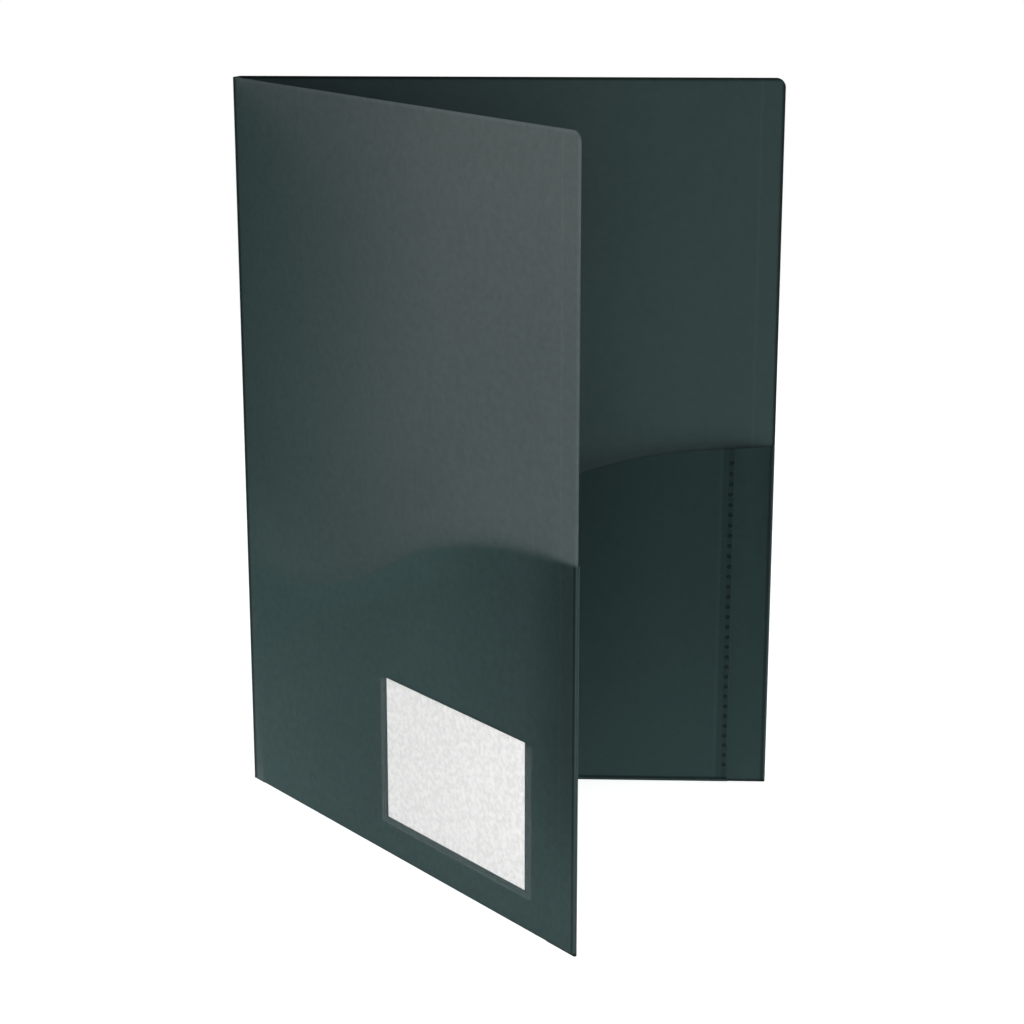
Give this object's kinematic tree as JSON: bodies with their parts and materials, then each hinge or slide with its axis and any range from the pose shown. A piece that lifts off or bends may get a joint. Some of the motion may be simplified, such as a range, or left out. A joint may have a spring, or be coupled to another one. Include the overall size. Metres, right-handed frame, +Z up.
{
  "type": "two pocket folder",
  "caption": "Pocket folder of dark translucent plastic sheet on a creased spine, with a welded pocket inside each cover and a clear film pocket that holds a card outside the front.",
  "frame": {"origin": "middle of the spine strip's foot, on the surface that the folder stands on", "axes": "+Z up along the spine, +X along the back cover from the spine to its free edge, -Y towards the front cover's side"},
  "size_m": [0.2274, 0.1773, 0.31],
  "materials": {
    "cover_sheet": "dark green-grey translucent sheet with a fine satin grain",
    "pocket_sheet": "the same sheet, seen double over the cover",
    "weld_spot": "sheet melted smooth and darker at the weld",
    "clear_film": "clear glossy film",
    "card_stock": "uncoated white card"
  },
  "bodies": {
    "back_cover": {"back_cover": "cover_sheet", "back_bottom_fold": "cover_sheet", "back_side_fold": "cover_sheet"},
    "spine": {"spine": "cover_sheet", "back_crease": "cover_sheet", "front_crease": "cover_sheet"},
    "front_cover": {"front_cover": "cover_sheet", "front_bottom_fold": "cover_sheet", "front_side_fold": "cover_sheet", "card_pocket_film": "clear_film", "card_pocket_weld": "clear_film"},
    "back_pocket": {"back_pocket": "pocket_sheet", "back_side_flap": "pocket_sheet", "back_weld_spots": "weld_spot"},
    "front_pocket": {"front_pocket": "pocket_sheet", "front_side_flap": "pocket_sheet", "front_weld_spots": "weld_spot"},
    "card": {"card": "card_stock"}
  },
  "joints": [
    {"name": "back_crease_hinge", "type": "hinge", "parent": "spine", "child": "back_cover", "pos_m": [0.00106, 0.00227, 0.155], "axis": [0, 0, 1], "range_deg": [-25, 65]},
    {"name": "front_crease_hinge", "type": "hinge", "parent": "spine", "child": "front_cover", "pos_m": [-0.00106, -0.00227, 0.155], "axis": [0, 0, -1], "range_deg": [-25, 65]},
    {"name": "back_pocket_hinge", "type": "hinge", "parent": "back_cover", "child": "back_pocket", "pos_m": [0.10906, 0.00147, 0.00105], "axis": [1, 0, 0], "range_deg": [-1.5, 3.9], "deforming": ["back_side_flap"]},
    {"name": "front_pocket_hinge", "type": "hinge", "parent": "front_cover", "child": "front_pocket", "pos_m": [0.06898, -0.08448, 0.00105], "axis": [-0.6428, 0.766, 0], "range_deg": [-1.5, 3.9], "deforming": ["front_side_flap"]},
    {"name": "card_slide", "type": "slide", "parent": "front_cover", "child": "card", "axis": [0, 0, 1], "range_m": [0, 0.062]}
  ],
  "couplings": [
    {"joint": "front_crease_hinge", "follows": "back_crease_hinge", "ratio": 1},
    {"joint": "back_pocket_hinge", "follows": "back_crease_hinge", "ratio": 0.06},
    {"joint": "front_pocket_hinge", "follows": "back_crease_hinge", "ratio": 0.06}
  ]
}
